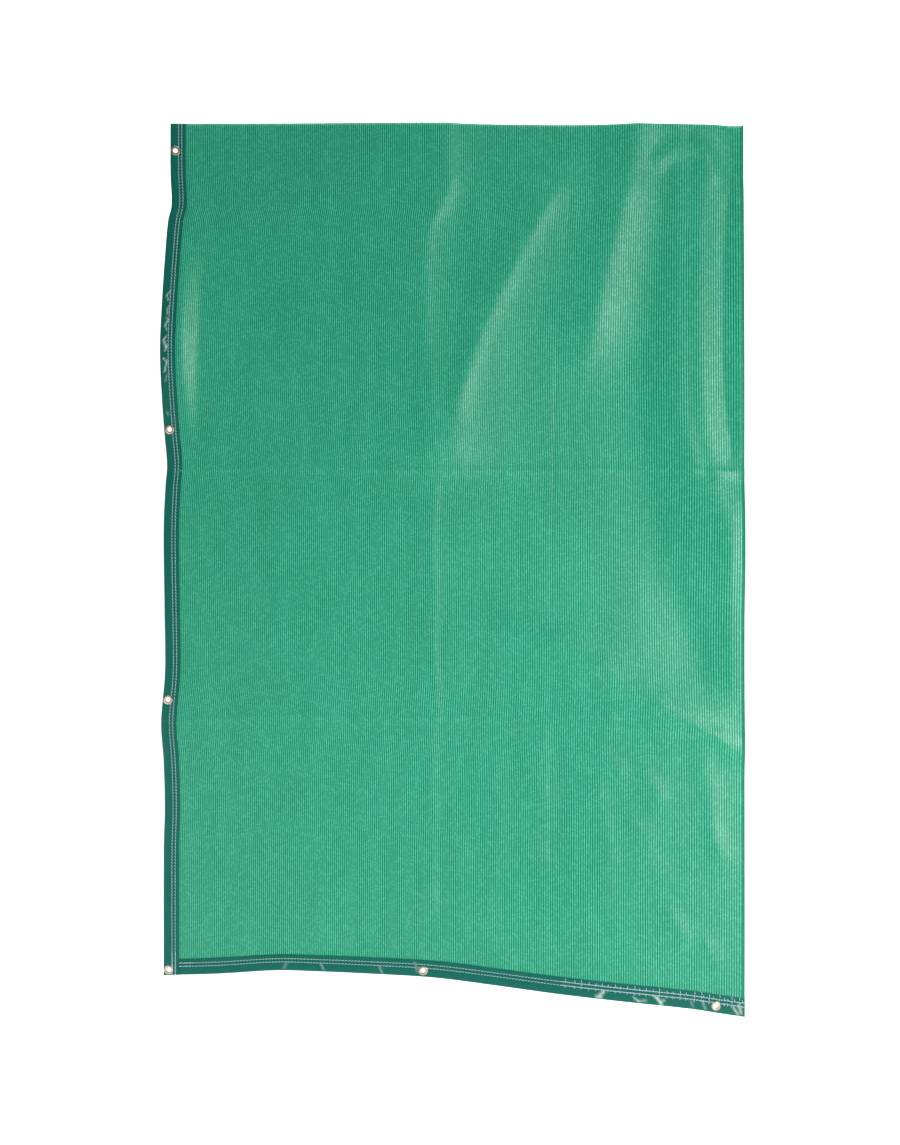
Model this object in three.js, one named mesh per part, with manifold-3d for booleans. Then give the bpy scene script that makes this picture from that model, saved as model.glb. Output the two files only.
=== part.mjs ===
// Screen net: a panel of green knitted netting that hangs from its top edge. A folded tape binds
// its left side and its bottom, and metal eyelets are set in the tape. Millimetres, +Z up, and
// the front of the net faces -Y. The origin is the middle of the top edge.

import * as THREE from 'three';
import { mergeVertices } from 'three/addons/utils/BufferGeometryUtils.js';
import Module from 'manifold-3d';

// The net panel, measured over its outline with both tapes on. Two directions lie in the cloth:
// across runs from the left edge to the right, down runs from the top edge to the bottom.
const NET_WIDTH = 1061;
const NET_HEIGHT = 1558;
const NET_THICK = 1.2;
const NET_COLUMNS = 50;
const NET_ROWS = 44;

// The hem is turned to the back along the top and the right side.
const HEM_WIDTH = 25;
const HEM_THICK = 1.3;
const HEM_SLOPE = 0.8;
const HEM_TAPE_GAP = 1;

// The tape is folded over the edge of the net. Its outer part is two layers pressed together,
// and its inner part opens into a slot that holds the net.
const TAPE_WIDTH = 29;
const TAPE_THICK = 3;
const TAPE_ROUND = 0.8;
const SLOT_START = 16.2;
const CLEARANCE = 0.3;
const NET_EDGE_INSET = 20;
const TAPE_FLARE = 3.6;

// The eyelets: a bore, a rolled face at the front and a washer at the back, with the end of the
// barrel curled over it. The roll and the curl are measured from the bore or from the rim.
const BORE_RADIUS = 4;
const BARREL_RADIUS = 4.45;
const FACE_RADIUS = 8.5;
const FACE_RISE = 0.7;
const WASHER_RADIUS = 8.2;
const WASHER_RISE = 0.9;
const EYELET_SIDES = 16;
const TAPE_HOLE_RADIUS = BARREL_RADIUS + 0.4;
const EYELET_SEAT = TAPE_THICK / 2 + CLEARANCE;
const BORE_CHAMFER = 0.2;
const ROLL_START = 0.9;
const ROLL_END = 1.1;
const RIM_ROUND = 0.2;
const WASHER_ROUND = 0.3;
const CURL_FOOT = 2.2;
const CURL_TOP = 1.3;
const CURL_MOUTH = 0.4;
const CURL_MOUTH_SHARE = 0.8;
const LEAN_STEP = 8;
const PUNCH_LENGTH = 20;

// Where each eyelet sits: along is measured down the left tape or across the bottom tape, and
// inset is measured in from the outer edge of the tape.
const leftEyelets = [
  { name: 'eyelet_left_1', along: 50, inset: 10 },
  { name: 'eyelet_left_2', along: 560, inset: 10.5 },
  { name: 'eyelet_left_3', along: 1054, inset: 10 },
  { name: 'eyelet_corner', along: 1548, inset: 9.5 },
];
const bottomEyelets = [
  { name: 'eyelet_bottom_1', along: 474, inset: 11 },
  { name: 'eyelet_bottom_2', along: 1008, inset: 11 },
];

// How far the left edge lies inside its straight line at each height. Three kinks are left from
// the way the net was packed.
const leftEdge = [
  { down: 0, inside: 10.5 },
  { down: 90, inside: 10.5 },
  { down: 150, inside: 12.5 },
  { down: 178, inside: 6.5 },
  { down: 250, inside: 1.5 },
  { down: 330, inside: -2.5 },
  { down: 417, inside: -6 },
  { down: 500, inside: -4 },
  { down: 570, inside: 0 },
  { down: 625, inside: 4 },
  { down: 665, inside: 1 },
  { down: 745, inside: -2 },
  { down: 900, inside: 0 },
  { down: 1005, inside: 1 },
  { down: 1096, inside: -6 },
  { down: 1165, inside: -2 },
  { down: 1250, inside: 0 },
  { down: 1330, inside: -2 },
  { down: 1558, inside: -2 },
];

// How far the bottom edge hangs below its straight line.
const bottomEdge = [
  { across: 0, below: 0 },
  { across: 100, below: -2.5 },
  { across: 205, below: -8 },
  { across: 290, below: -5 },
  { across: 385, below: 0 },
  { across: 495, below: 7 },
  { across: 604, below: 20 },
  { across: 714, below: 34 },
  { across: 824, below: 46 },
  { across: 961, below: 60.5 },
  { across: 1015, below: 69 },
  { across: 1061, below: 76 },
];

// The folds. Each one is a line down the cloth: height is how far it comes forward, left and
// right are how far it reaches to each side, round is how soft its crest is, fade is the length
// over which it dies away at both ends, and line gives its [down, across] points.
const folds = [
  {
    height: 10, left: 150, right: 26, round: 0.35, fade: 110,
    line: [[-100, 512], [49, 511], [122, 508], [190, 478], [331, 477], [506, 488], [689, 494]],
  },
  {
    height: 16, left: 55, right: 80, round: 0.3, fade: 130,
    line: [[13, 769], [148, 688], [245, 639], [331, 597], [426, 561], [512, 535], [619, 527], [690, 530]],
  },
  {
    height: 17, left: 50, right: 60, round: 0.3, fade: 200,
    line: [[-230, 862], [31, 860], [170, 829], [256, 807], [380, 785], [500, 762]],
  },
  {
    height: -14, left: 90, right: 50, round: 0.5, fade: 130,
    line: [[-40, 931], [177, 909], [323, 889], [470, 871], [616, 884], [762, 915], [908, 961], [1054, 1001]],
  },
  {
    height: 9, left: 60, right: 45, round: 0.7, fade: 120,
    line: [[-110, 955], [104, 960], [323, 960], [506, 966], [616, 990], [725, 1030], [871, 1048]],
  },
  {
    height: -13, left: 32, right: 26, round: 0.25, fade: 110,
    line: [[-130, 1038], [86, 1033], [245, 1022], [406, 1020], [512, 1027], [608, 1043], [689, 1072]],
  },
  {
    height: 3.5, left: 22, right: 18, round: 0.5, fade: 110,
    line: [[634, 1041], [798, 1037], [919, 1039], [1054, 1048]],
  },
  {
    height: 9, left: 60, right: 110, round: 0.4, fade: 90,
    line: [[850, 570], [917, 696], [990, 833], [1063, 961], [1109, 1043], [1150, 1115]],
  },
  {
    height: 6, left: 200, right: 240, round: 0.15, fade: 160,
    line: [[560, 497], [871, 497], [1102, 497], [1346, 495], [1600, 498]],
  },
];

// Ridges along the left tape, which the tape shares in full.
const edgeFolds = [
  { height: 25, left: 90, right: 32, round: 0.35, fade: 270, line: [[110, 33], [400, 33], [645, 33]] },
  { height: 4, left: 60, right: 34, round: 0.5, fade: 120, line: [[940, 28], [1200, 28]] },
];

// Broad waves of the whole panel, in and out.
const waves = [
  { height: 5, acrossLength: 1240, downLength: 5200, shift: 0.1 },
  { height: 3, acrossLength: 690, downLength: 3100, shift: 0.55 },
  { height: 2, acrossLength: 2600, downLength: 980, shift: 0.3 },
];

// The tapes are stiffer than the net, so folds fade into them over this distance.
const TAPE_HOLD = 130;
const TAPE_SHARE = 0.12;

const netMaterial = new THREE.MeshStandardMaterial({ color: 0x37aa87, roughness: 0.6 });
const tapeMaterial = new THREE.MeshStandardMaterial({ color: 0x26625a, roughness: 0.35 });
const eyeletMaterial = new THREE.MeshStandardMaterial({ color: 0xb9a88c, roughness: 0.3, metalness: 0.9 });

const wasm = await Module();
wasm.setup();

// A smooth curve through [at, value] points, level past both ends.
function curveThrough(points, at) {
  const last = points.length - 1;
  if (at <= points[0][0]) return points[0][1];
  if (at >= points[last][0]) return points[last][1];
  const i = points.findIndex((point) => point[0] > at) - 1;
  const slopeAt = (k) => {
    const from = points[Math.max(k - 1, 0)];
    const to = points[Math.min(k + 1, last)];
    return (to[1] - from[1]) / (to[0] - from[0]);
  };
  const span = points[i + 1][0] - points[i][0];
  const t = (at - points[i][0]) / span;
  const rise = t * t * (3 - 2 * t);
  const leave = t * (1 - t) * (1 - t) * span * slopeAt(i);
  const arrive = t * t * (1 - t) * span * slopeAt(i + 1);
  return points[i][1] + (points[i + 1][1] - points[i][1]) * rise + leave - arrive;
}

const leftPoints = leftEdge.map((row) => [row.down, row.inside]);
const bottomPoints = bottomEdge.map((row) => [row.across, row.below]);

// How far the folds come forward at one place.
function sumOfFolds(rows, across, down) {
  let total = 0;
  for (const fold of rows) {
    const top = fold.line[0][0];
    const bottom = fold.line[fold.line.length - 1][0];
    const ends = THREE.MathUtils.smoothstep(down, top, top + fold.fade)
      * (1 - THREE.MathUtils.smoothstep(down, bottom - fold.fade, bottom));
    const beside = across - curveThrough(fold.line, down);
    const aside = beside / (beside < 0 ? fold.left : fold.right);
    total += fold.height * ends * Math.exp(fold.round - Math.hypot(aside, fold.round));
  }
  return total;
}

// How far the cloth comes forward at one place.
function forwardAt(across, down) {
  const fromEdge = Math.min(across, NET_HEIGHT - down) - TAPE_WIDTH;
  const hold = TAPE_SHARE + (1 - TAPE_SHARE) * THREE.MathUtils.smoothstep(fromEdge, 0, TAPE_HOLD);
  let fromWaves = 0;
  for (const wave of waves) {
    const turns = across / wave.acrossLength + down / wave.downLength + wave.shift;
    fromWaves += wave.height * Math.sin(2 * Math.PI * turns);
  }
  return sumOfFolds(folds, across, down) * hold + sumOfFolds(edgeFolds, across, down) + fromWaves;
}

const originForward = forwardAt(NET_WIDTH / 2, 0);

// A point of the cloth's middle surface, moved back by behind.
function clothPoint(across, down, behind = 0) {
  const inside = curveThrough(leftPoints, down) * (1 - across / NET_WIDTH);
  const up = NET_HEIGHT - down;
  const below = curveThrough(bottomPoints, across) * (1 - up / NET_HEIGHT);
  const flare = TAPE_FLARE * (across / NET_WIDTH) * Math.min(up / TAPE_WIDTH, 1) * (1 - up / NET_HEIGHT);
  return new THREE.Vector3(
    across - NET_WIDTH / 2 + inside,
    behind + originForward - forwardAt(across, down),
    flare - down - below,
  );
}

// Even steps between two values, both ends included.
function evenSteps(from, to, count) {
  return Array.from({ length: count + 1 }, (_, i) => from + ((to - from) * i) / count);
}

// Sweeps a section along a list of stations into one closed solid. pointAt gives the place of a
// section point at a station.
function sweepSection(section, stations, pointAt) {
  const positions = [];
  for (const station of stations) {
    for (const corner of section) positions.push(...pointAt(corner, station).toArray());
  }
  const count = section.length;
  const index = [];
  for (let s = 0; s < stations.length - 1; s++) {
    for (let c = 0; c < count; c++) {
      const next = (c + 1) % count;
      const a = s * count + c;
      const b = s * count + next;
      index.push(a, b, b + count, a, b + count, a + count);
    }
  }
  const end = (stations.length - 1) * count;
  for (const [a, b, c] of THREE.ShapeUtils.triangulateShape(section, [])) {
    index.push(a, c, b, end + a, end + b, end + c);
  }
  return geometryFrom(positions, index);
}

// Whether a cell of the cloth keeps its shape better when it is split from its upper left corner
// to its lower right one.
function splitsFromUpperLeft(left, right, top, bottom) {
  const middle = forwardAt((left + right) / 2, (top + bottom) / 2);
  const falling = (forwardAt(left, top) + forwardAt(right, bottom)) / 2;
  const rising = (forwardAt(left, bottom) + forwardAt(right, top)) / 2;
  return Math.abs(falling - middle) < Math.abs(rising - middle);
}

// A closed sheet over a grid: the front follows frontAt and the back follows backAt.
function closedSheet(acrosses, downs, frontAt, backAt) {
  const positions = [];
  for (const pointAt of [frontAt, backAt]) {
    for (const down of downs) {
      for (const across of acrosses) positions.push(...pointAt(across, down).toArray());
    }
  }
  const columns = acrosses.length;
  const rows = downs.length;
  const back = columns * rows;
  const index = [];
  const quad = (a, b, c, d) => index.push(a, b, c, a, c, d);
  for (let r = 0; r < rows - 1; r++) {
    for (let c = 0; c < columns - 1; c++) {
      const at = r * columns + c;
      const below = at + columns;
      if (splitsFromUpperLeft(acrosses[c], acrosses[c + 1], downs[r], downs[r + 1])) {
        quad(at, below, below + 1, at + 1);
        quad(back + at, back + at + 1, back + below + 1, back + below);
      } else {
        quad(below, below + 1, at + 1, at);
        quad(back + at + 1, back + below + 1, back + below, back + at);
      }
    }
  }
  for (let c = 0; c < columns - 1; c++) {
    const low = (rows - 1) * columns + c;
    quad(c, c + 1, back + c + 1, back + c);
    quad(low + 1, low, back + low, back + low + 1);
  }
  for (let r = 0; r < rows - 1; r++) {
    const left = r * columns;
    const right = left + columns - 1;
    quad(left + columns, left, back + left, back + left + columns);
    quad(right, right + columns, back + right + columns, back + right);
  }
  return geometryFrom(positions, index);
}

function geometryFrom(positions, index) {
  const geometry = new THREE.BufferGeometry();
  geometry.setAttribute('position', new THREE.Float32BufferAttribute(positions, 3));
  geometry.setIndex(index);
  return geometry;
}

// A geometry as a solid, with its shared corners merged.
function solidFrom(geometry, matrix = new THREE.Matrix4()) {
  const bare = geometry.clone().applyMatrix4(matrix);
  bare.deleteAttribute('normal');
  bare.deleteAttribute('uv');
  const merged = mergeVertices(bare, 1e-4);
  const mesh = new wasm.Mesh({
    numProp: 3,
    vertProperties: new Float32Array(merged.attributes.position.array),
    triVerts: new Uint32Array(merged.index.array),
  });
  return new wasm.Manifold(mesh);
}

function geometryOf(solid) {
  const mesh = solid.getMesh();
  const geometry = geometryFrom(Array.from(mesh.vertProperties), Array.from(mesh.triVerts));
  geometry.computeVertexNormals();
  return geometry;
}

function namedMesh(name, geometry, material) {
  const mesh = new THREE.Mesh(geometry, material);
  mesh.name = name;
  return mesh;
}

// The tape's section: inset is measured in from the fold, behind from the middle of the cloth.
function tapeSection() {
  const face = TAPE_THICK / 2;
  const slot = NET_THICK / 2 + CLEARANCE;
  const corners = [
    [0, -face + TAPE_ROUND],
    [TAPE_ROUND, -face],
    [TAPE_WIDTH, -face],
    [TAPE_WIDTH, -slot],
    [SLOT_START, -slot],
    [SLOT_START, slot],
    [TAPE_WIDTH, slot],
    [TAPE_WIDTH, face],
    [TAPE_ROUND, face],
    [0, face - TAPE_ROUND],
  ];
  return corners.map(([inset, behind]) => new THREE.Vector2(inset, behind));
}

// The lines of the grid that the net and the tapes share, so that they bend together.
const netAcrosses = [
  NET_EDGE_INSET,
  ...evenSteps(TAPE_WIDTH + 2 * CLEARANCE, NET_WIDTH - HEM_WIDTH - HEM_SLOPE, NET_COLUMNS),
  NET_WIDTH - HEM_WIDTH,
  NET_WIDTH,
];
const netDowns = [
  0,
  HEM_WIDTH,
  ...evenSteps(HEM_WIDTH + HEM_SLOPE, NET_HEIGHT - TAPE_WIDTH - 2 * CLEARANCE, NET_ROWS),
  NET_HEIGHT - NET_EDGE_INSET,
];

function makeNet() {
  const half = NET_THICK / 2;
  const hemInset = TAPE_WIDTH + HEM_TAPE_GAP;
  const inHem = (across, down) => {
    const clearOfTapes = across > hemInset && down < NET_HEIGHT - hemInset;
    return clearOfTapes && (down <= HEM_WIDTH || across >= NET_WIDTH - HEM_WIDTH);
  };
  const frontAt = (across, down) => clothPoint(across, down, -half);
  const backAt = (across, down) => clothPoint(across, down, half + (inHem(across, down) ? HEM_THICK : 0));
  return namedMesh('net', closedSheet(netAcrosses, netDowns, frontAt, backAt), netMaterial);
}

// The eyelet's outline, which is turned about its bore: [radius, distance from front to back].
function eyeletProfile() {
  const seat = EYELET_SEAT;
  const corners = [
    [BORE_RADIUS, -seat + BORE_CHAMFER],
    [BORE_RADIUS + ROLL_START, -seat - FACE_RISE],
    [FACE_RADIUS - ROLL_END, -seat - FACE_RISE],
    [FACE_RADIUS - RIM_ROUND, -seat - FACE_RISE / 2],
    [FACE_RADIUS, -seat],
    [BARREL_RADIUS, -seat],
    [BARREL_RADIUS, seat],
    [WASHER_RADIUS, seat],
    [WASHER_RADIUS - WASHER_ROUND, seat + WASHER_RISE / 2],
    [BORE_RADIUS + CURL_FOOT, seat + WASHER_RISE / 2],
    [BORE_RADIUS + CURL_TOP, seat + WASHER_RISE],
    [BORE_RADIUS + CURL_MOUTH, seat + WASHER_RISE * CURL_MOUTH_SHARE],
    [BORE_RADIUS, seat - BORE_CHAMFER],
  ];
  const points = corners.map(([radius, along]) => new THREE.Vector2(radius, along));
  return [...points, points[0].clone()];
}

// The place and lean of an eyelet at one spot of the cloth.
function eyeletSeat(across, down) {
  const toRight = clothPoint(across + LEAN_STEP, down).sub(clothPoint(across - LEAN_STEP, down));
  const toTop = clothPoint(across, down - LEAN_STEP).sub(clothPoint(across, down + LEAN_STEP));
  const backward = new THREE.Vector3().crossVectors(toTop, toRight).normalize();
  const lean = new THREE.Quaternion().setFromUnitVectors(new THREE.Vector3(0, 1, 0), backward);
  return { place: clothPoint(across, down), lean };
}

const seats = [
  ...leftEyelets.map((row) => ({ ...row, ...eyeletSeat(row.inset, row.along) })),
  ...bottomEyelets.map((row) => ({ ...row, ...eyeletSeat(row.along, NET_HEIGHT - row.inset) })),
];

function makeEyelet(seat) {
  const geometry = new THREE.LatheGeometry(eyeletProfile(), EYELET_SIDES);
  const mesh = namedMesh(seat.name, geometryOf(solidFrom(geometry)), eyeletMaterial);
  mesh.position.copy(seat.place);
  mesh.quaternion.copy(seat.lean);
  return mesh;
}

// Punches a hole through the tape at each of its eyelets.
function punched(geometry, rows) {
  let solid = solidFrom(geometry);
  for (const row of rows) {
    const seat = seats.find((candidate) => candidate.name === row.name);
    const punch = new THREE.CylinderGeometry(TAPE_HOLE_RADIUS, TAPE_HOLE_RADIUS, PUNCH_LENGTH, EYELET_SIDES);
    const matrix = new THREE.Matrix4().compose(seat.place, seat.lean, new THREE.Vector3(1, 1, 1));
    solid = solid.subtract(solidFrom(punch, matrix));
  }
  return geometryOf(solid);
}

function makeLeftTape() {
  const stations = [...netDowns.slice(0, -1), NET_HEIGHT].reverse();
  const pointAt = (corner, down) => clothPoint(corner.x, down, corner.y);
  const swept = sweepSection(tapeSection(), stations, pointAt);
  return namedMesh('tape_left', punched(swept, leftEyelets), tapeMaterial);
}

function makeBottomTape() {
  const stations = netAcrosses.slice(1).reverse();
  const pointAt = (corner, across) => clothPoint(across, NET_HEIGHT - corner.x, corner.y);
  const swept = sweepSection(tapeSection(), stations, pointAt);
  return namedMesh('tape_bottom', punched(swept, bottomEyelets), tapeMaterial);
}

const screenNet = new THREE.Group();
screenNet.name = 'screen_net';
screenNet.add(makeNet(), makeLeftTape(), makeBottomTape(), ...seats.map(makeEyelet));

export default screenNet;
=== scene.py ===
"""Screen net: knitted netting with ribs, bound with folded and stitched tape, and metal eyelets."""

import math

import bmesh
import bpy
import numpy as np
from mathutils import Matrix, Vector


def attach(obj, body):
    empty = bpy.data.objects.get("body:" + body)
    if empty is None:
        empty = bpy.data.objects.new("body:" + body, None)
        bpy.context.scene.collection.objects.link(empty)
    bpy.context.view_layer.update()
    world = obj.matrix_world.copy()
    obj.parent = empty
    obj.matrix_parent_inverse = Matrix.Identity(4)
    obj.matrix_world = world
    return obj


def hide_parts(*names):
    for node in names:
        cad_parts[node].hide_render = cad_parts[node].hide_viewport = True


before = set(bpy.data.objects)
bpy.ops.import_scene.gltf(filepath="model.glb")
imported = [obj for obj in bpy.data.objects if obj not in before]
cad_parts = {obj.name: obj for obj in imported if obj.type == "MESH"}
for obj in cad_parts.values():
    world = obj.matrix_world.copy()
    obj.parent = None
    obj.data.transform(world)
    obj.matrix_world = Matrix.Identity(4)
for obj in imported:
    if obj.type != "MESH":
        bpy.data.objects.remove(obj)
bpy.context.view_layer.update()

bl_info = {
    "name": "Screen net",
    "version": (1, 0, 0),
    "blender": (4, 5, 0),
    "location": "3D View > Sidebar > Screen net",
    "description": "Builds a hung screen net with ribs, tape binding, stitching and eyelets",
    "category": "Object",
}

MM = 0.001

# The cloth, in millimetres. Across runs from the left edge to the right, down runs from the top
# edge to the bottom, as in the solids.
NET_WIDTH = 1061.0
NET_HEIGHT = 1558.0
HEM_WIDTH = 25.0
HEM_THICK = 1.3
HEM_SLOPE = 0.8
TAPE_WIDTH = 29.0
TAPE_FLARE = 3.6
TAPE_FACE = 1.5
NET_EDGE_INSET = 20.0

# How far the left edge lies inside its straight line: (down, inside).
LEFT_EDGE = [
    (0, 10.5), (90, 10.5), (150, 12.5), (178, 6.5), (250, 1.5), (330, -2.5), (417, -6), (500, -4),
    (570, 0), (625, 4), (665, 1), (745, -2), (900, 0), (1005, 1), (1096, -6), (1165, -2),
    (1250, 0), (1330, -2), (1558, -2),
]

# How far the bottom edge hangs below its straight line: (across, below).
BOTTOM_EDGE = [
    (0, 0), (100, -2.5), (205, -8), (290, -5), (385, 0), (495, 7), (604, 20), (714, 34),
    (824, 46), (961, 60.5), (1015, 69), (1061, 76),
]

# The folds: (height, left reach, right reach, roundness, fade, [(down, across), ...]). A small
# roundness gives a sharp crest.
FOLDS = [
    (10, 150, 26, 0.35, 110, [(-100, 512), (49, 511), (122, 508), (190, 478), (331, 477), (506, 488),
                              (689, 494)]),
    (16, 55, 80, 0.3, 130, [(13, 769), (148, 688), (245, 639), (331, 597), (426, 561), (512, 535),
                            (619, 527), (690, 530)]),
    (17, 50, 60, 0.3, 200, [(-230, 862), (31, 860), (170, 829), (256, 807), (380, 785), (500, 762)]),
    (-14, 90, 50, 0.5, 130, [(-40, 931), (177, 909), (323, 889), (470, 871), (616, 884), (762, 915),
                             (908, 961), (1054, 1001)]),
    (9, 60, 45, 0.7, 120, [(-110, 955), (104, 960), (323, 960), (506, 966), (616, 990), (725, 1030),
                            (871, 1048)]),
    (-13, 32, 26, 0.25, 110, [(-130, 1038), (86, 1033), (245, 1022), (406, 1020), (512, 1027),
                              (608, 1043), (689, 1072)]),
    (3.5, 22, 18, 0.5, 110, [(634, 1041), (798, 1037), (919, 1039), (1054, 1048)]),
    (9, 60, 110, 0.4, 90, [(850, 570), (917, 696), (990, 833), (1063, 961), (1109, 1043), (1150, 1115)]),
    (6, 200, 240, 0.15, 160, [(560, 497), (871, 497), (1102, 497), (1346, 495), (1600, 498)]),
]

# Ridges along the left tape, which the tape shares in full.
EDGE_FOLDS = [
    (25, 90, 32, 0.35, 270, [(110, 33), (400, 33), (645, 33)]),
    (4, 60, 34, 0.5, 120, [(940, 28), (1200, 28)]),
]

# Broad waves of the whole panel: (height, across length, down length, shift).
WAVES = [(5, 1240, 5200, 0.1), (3, 690, 3100, 0.55), (2, 2600, 980, 0.3)]
TAPE_HOLD = 130.0
TAPE_SHARE = 0.12

# Creases left from packing, sharper crests and troughs along the folds, and small wrinkles:
# (height, reach, [(across, down), ...]).
CREASES = [
    (1.1, 5, [(40, 634), (500, 633), (720, 620), (900, 611), (1061, 610)]),
    (1.0, 6, [(40, 1091), (400, 1090), (720, 1069), (830, 1075), (1061, 1068)]),
    (0.3, 7, [(700, 118), (860, 112), (960, 130)]),
    (-0.5, 3.5, [(741, 115), (725, 298), (712, 619), (708, 835), (705, 1102), (707, 1478)]),
    (1.5, 10, [(495, 663), (488, 760), (494, 830), (489, 950), (500, 1091)]),
    (1.6, 10, [(494, 1113), (488, 1220), (494, 1300), (488, 1400)]),
    (1.0, 8, [(423, 1492), (575, 1509), (661, 1547)]), (0.8, 6, [(522, 92), (538, 128)]),
    (-0.8, 7, [(868, 292), (876, 300)]), (3.8, 15, [(720, 921), (840, 985), (965, 1052), (1045, 1096)]),
    (2.2, 18, [(745, 50), (688, 148), (639, 245), (597, 331), (561, 426), (538, 505)]),
    (2.4, 14, [(636, 910), (735, 978), (819, 1058)]),
    (2.2, 20, [(985, 1110), (1000, 1200), (1012, 1300)]), (-2.6, 14, [(66, 250), (68, 380), (64, 560)]),
    (-2.6, 16, [(962, 0), (964, 104), (958, 323), (966, 506), (990, 616)]),
    (2.6, 14, [(1030, 20), (1024, 120), (1014, 245), (1012, 406), (1019, 512), (1035, 608)]),
    (1.8, 18, [(790, 1190), (812, 1290), (806, 1380)]),
    (1.6, 18, [(600, 1180), (612, 1260), (604, 1330)]),
    (-1.6, 16, [(720, 1120), (728, 1220), (716, 1300)]),
    (3.0, 14, [(905, 64), (938, 38), (985, 46), (1006, 88)]), (-4.0, 16, [(1048, 0), (1050, 96)]),
    (2.8, 16, [(800, 968), (826, 1000)]), (3.0, 18, [(900, 1040), (934, 1066)]),
    (-2.4, 15, [(770, 1010), (800, 1040)]), (2.4, 14, [(802, 1128), (834, 1150)]),
    (2.6, 15, [(880, 1160), (905, 1188)]), (2.2, 14, [(852, 1244), (880, 1262)]),
    (2.8, 16, [(930, 1410), (952, 1436)]), (2.0, 13, [(668, 1178), (690, 1198)]),
    (2.4, 13, [(520, 1310), (545, 1330)]), (2.6, 14, [(566, 1428), (590, 1446)]),
    (3.2, 12, [(478, 1396), (496, 1420)]), (2.4, 14, [(990, 1442), (1010, 1470)]),
    (-2.0, 14, [(905, 1290), (940, 1310)]), (2.0, 16, [(1000, 1250), (1030, 1285)]),
    (-2.2, 15, [(700, 1300), (735, 1326)]), (1.8, 14, [(740, 1400), (772, 1420)]),
    (2.4, 12, [(560, 150), (585, 196)]), (2.0, 10, [(505, 60), (520, 110)]),
    (-1.8, 12, [(655, 70), (690, 96)]), (2.0, 14, [(720, 330), (748, 372)]),
]


def curve_through(points, at):
    """A smooth curve through (at, value) points, level past both ends, at an array of places."""
    xs = np.array([point[0] for point in points], float)
    ys = np.array([point[1] for point in points], float)
    last = len(xs) - 1
    slopes = np.empty(len(xs))
    for i in range(len(xs)):
        before, after = max(i - 1, 0), min(i + 1, last)
        slopes[i] = (ys[after] - ys[before]) / (xs[after] - xs[before])
    place = np.clip(np.asarray(at, float), xs[0], xs[-1])
    i = np.clip(np.searchsorted(xs, place, side="right") - 1, 0, last - 1)
    span = xs[i + 1] - xs[i]
    t = (place - xs[i]) / span
    rise = t * t * (3 - 2 * t)
    leave = t * (1 - t) ** 2 * span * slopes[i]
    arrive = t * t * (1 - t) * span * slopes[i + 1]
    return ys[i] + (ys[i + 1] - ys[i]) * rise + leave - arrive


def smoothstep(value, low, high):
    t = np.clip((np.asarray(value, float) - low) / (high - low), 0, 1)
    return t * t * (3 - 2 * t)


def sum_of_folds(rows, across, down):
    total = np.zeros(across.shape)
    for height, left, right, round_off, fade, line in rows:
        aside = across - curve_through(line, down)
        aside = aside / np.where(aside < 0, left, right)
        top, bottom = line[0][0], line[-1][0]
        ends = smoothstep(down, top, top + fade) * (1 - smoothstep(down, bottom - fade, bottom))
        total += height * ends * np.exp(round_off - np.sqrt(aside * aside + round_off * round_off))
    return total


def forward_at(across, down):
    """How far the cloth comes forward with its folds and waves, as in the solids."""
    across, down = np.broadcast_arrays(np.asarray(across, float), np.asarray(down, float))
    from_edge = np.minimum(across, NET_HEIGHT - down) - TAPE_WIDTH
    hold = TAPE_SHARE + (1 - TAPE_SHARE) * smoothstep(from_edge, 0, TAPE_HOLD)
    waves = np.zeros(across.shape)
    for height, across_length, down_length, shift in WAVES:
        turns = across / across_length + down / down_length + shift
        waves += height * np.sin(2 * math.pi * turns)
    return sum_of_folds(FOLDS, across, down) * hold + sum_of_folds(EDGE_FOLDS, across, down) + waves


ORIGIN_FORWARD = float(forward_at(NET_WIDTH / 2, 0))


def cloth_point(across, down, behind=0.0):
    """Points of the cloth's middle surface in metres, moved back by behind."""
    across, down, behind = np.broadcast_arrays(
        np.asarray(across, float), np.asarray(down, float), np.asarray(behind, float)
    )
    inside = curve_through(LEFT_EDGE, down) * (1 - across / NET_WIDTH)
    up = NET_HEIGHT - down
    below = curve_through(BOTTOM_EDGE, across) * (1 - up / NET_HEIGHT)
    flare = TAPE_FLARE * across / NET_WIDTH * np.minimum(up / TAPE_WIDTH, 1) * (1 - up / NET_HEIGHT)
    x = across - NET_WIDTH / 2 + inside
    y = behind + ORIGIN_FORWARD - forward_at(across, down)
    z = flare - down - below
    return np.stack([x, y, z], axis=-1) * MM


def ridge_at(rows, first, second):
    """The sum of soft ridges along short lines, at places given by two coordinates."""
    total = np.zeros(np.broadcast(first, second).shape)
    for height, reach, line in rows:
        nearest = np.full(total.shape, np.inf)
        for (x0, y0), (x1, y1) in zip(line, line[1:]):
            dx, dy = x1 - x0, y1 - y0
            t = np.clip(((first - x0) * dx + (second - y0) * dy) / (dx * dx + dy * dy), 0, 1)
            away = np.hypot(first - x0 - t * dx, second - y0 - t * dy)
            nearest = np.minimum(nearest, away)
        total += height * np.exp(-((nearest / reach) ** 2))
    return total


def crease_at(across, down):
    """How far the packing creases and small wrinkles stand forward."""
    clear = smoothstep(np.minimum(across, NET_HEIGHT - down), TAPE_WIDTH, TAPE_WIDTH + 8)
    return ridge_at(CREASES, across, down) * clear


def grid_faces(rows, columns, start=0, flip=False):
    """The quads of a grid whose points run along its columns first."""
    r, c = np.meshgrid(np.arange(rows - 1), np.arange(columns - 1), indexing="ij")
    a = (start + r * columns + c).ravel()
    quads = np.stack([a, a + columns, a + columns + 1, a + 1], axis=1)
    return quads[:, ::-1] if flip else quads


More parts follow.
